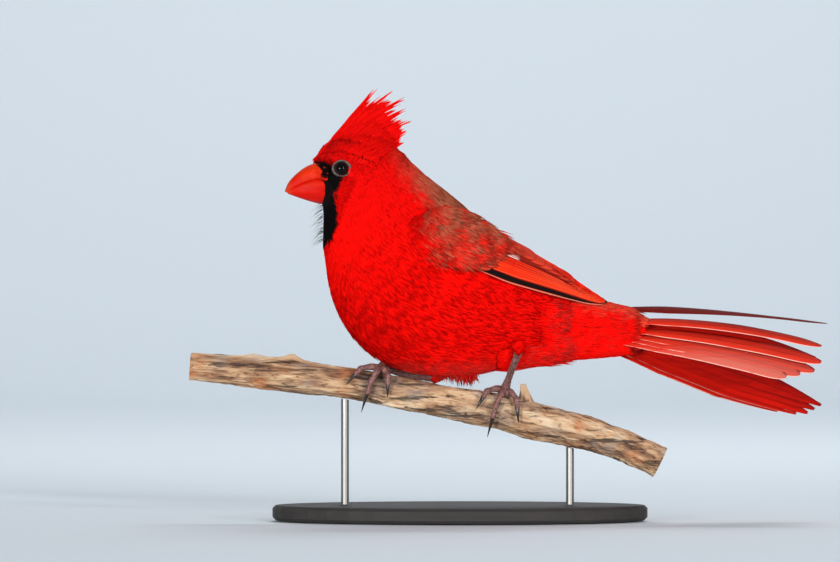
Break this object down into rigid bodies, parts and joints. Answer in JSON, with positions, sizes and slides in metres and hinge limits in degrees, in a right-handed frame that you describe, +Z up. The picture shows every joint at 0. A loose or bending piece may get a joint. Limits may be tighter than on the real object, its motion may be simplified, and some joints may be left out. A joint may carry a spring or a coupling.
{
  "type": "northern cardinal model",
  "caption": "Life-size museum model of an adult male cardinal gripping a cut length of branch, held over a flat oval base by thin rods.",
  "frame": {"origin": "centre of the base's flat underside", "axes": "+X from the bill to the tail, +Y to the bird's right side, +Z up"},
  "size_m": [0.2557, 0.084, 0.1746],
  "materials": {
    "plumage": "soft feathers",
    "crest": "soft feathers",
    "wing": "smooth feathers",
    "tail": "smooth feathers",
    "bill": "satin horn",
    "eye": "gloss",
    "leg": "satin scales",
    "claw": "satin horn",
    "bark": "rough bark",
    "base": "satin",
    "rod": "brushed"
  },
  "bodies": {
    "root": {"head": "plumage", "neck": "plumage", "torso": "plumage", "crest": "crest", "wing_left": "wing", "wing_right": "wing", "tail": "tail", "thigh_left": "plumage", "thigh_right": "plumage", "bill_upper": "bill", "bill_lower": "bill", "eye_left": "eye", "eye_right": "eye", "leg_left": "leg", "leg_right": "leg", "foot_left": "leg", "foot_right": "leg", "perch": "bark", "stand_base": "base", "stand_rod_front": "rod", "stand_rod_rear": "rod", "claw_left_inner": "claw", "claw_left_middle": "claw", "claw_left_outer": "claw", "claw_left_hind": "claw", "claw_right_inner": "claw", "claw_right_middle": "claw", "claw_right_outer": "claw", "claw_right_hind": "claw"}
  },
  "joints": []
}
